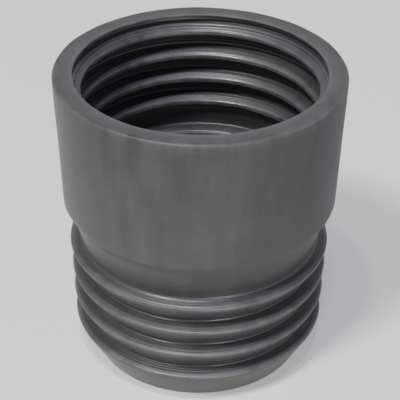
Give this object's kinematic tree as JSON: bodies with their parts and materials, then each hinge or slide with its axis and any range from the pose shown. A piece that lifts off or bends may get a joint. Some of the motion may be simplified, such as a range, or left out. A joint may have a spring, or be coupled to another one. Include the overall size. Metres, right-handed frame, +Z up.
{
  "type": "rubber pipe reducer",
  "caption": "Black moulded rubber pipe reducer: a push-fit socket with inner sealing lips above a narrower spigot with saw-tooth barbs and a tapered nose.",
  "frame": {"origin": "middle of the nose's flat end face, on the surface that the reducer stands on", "axes": "+Z up the reducer's axis to the mouth of the socket; it is round, so +X and +Y are any two directions across"},
  "size_m": [0.058, 0.058, 0.0642],
  "materials": {
    "moulded_rubber": "matt black rubber with a faint sheen, as it comes from the mould"
  },
  "bodies": {
    "root": {"rubber_reducer": "moulded_rubber"}
  },
  "joints": []
}
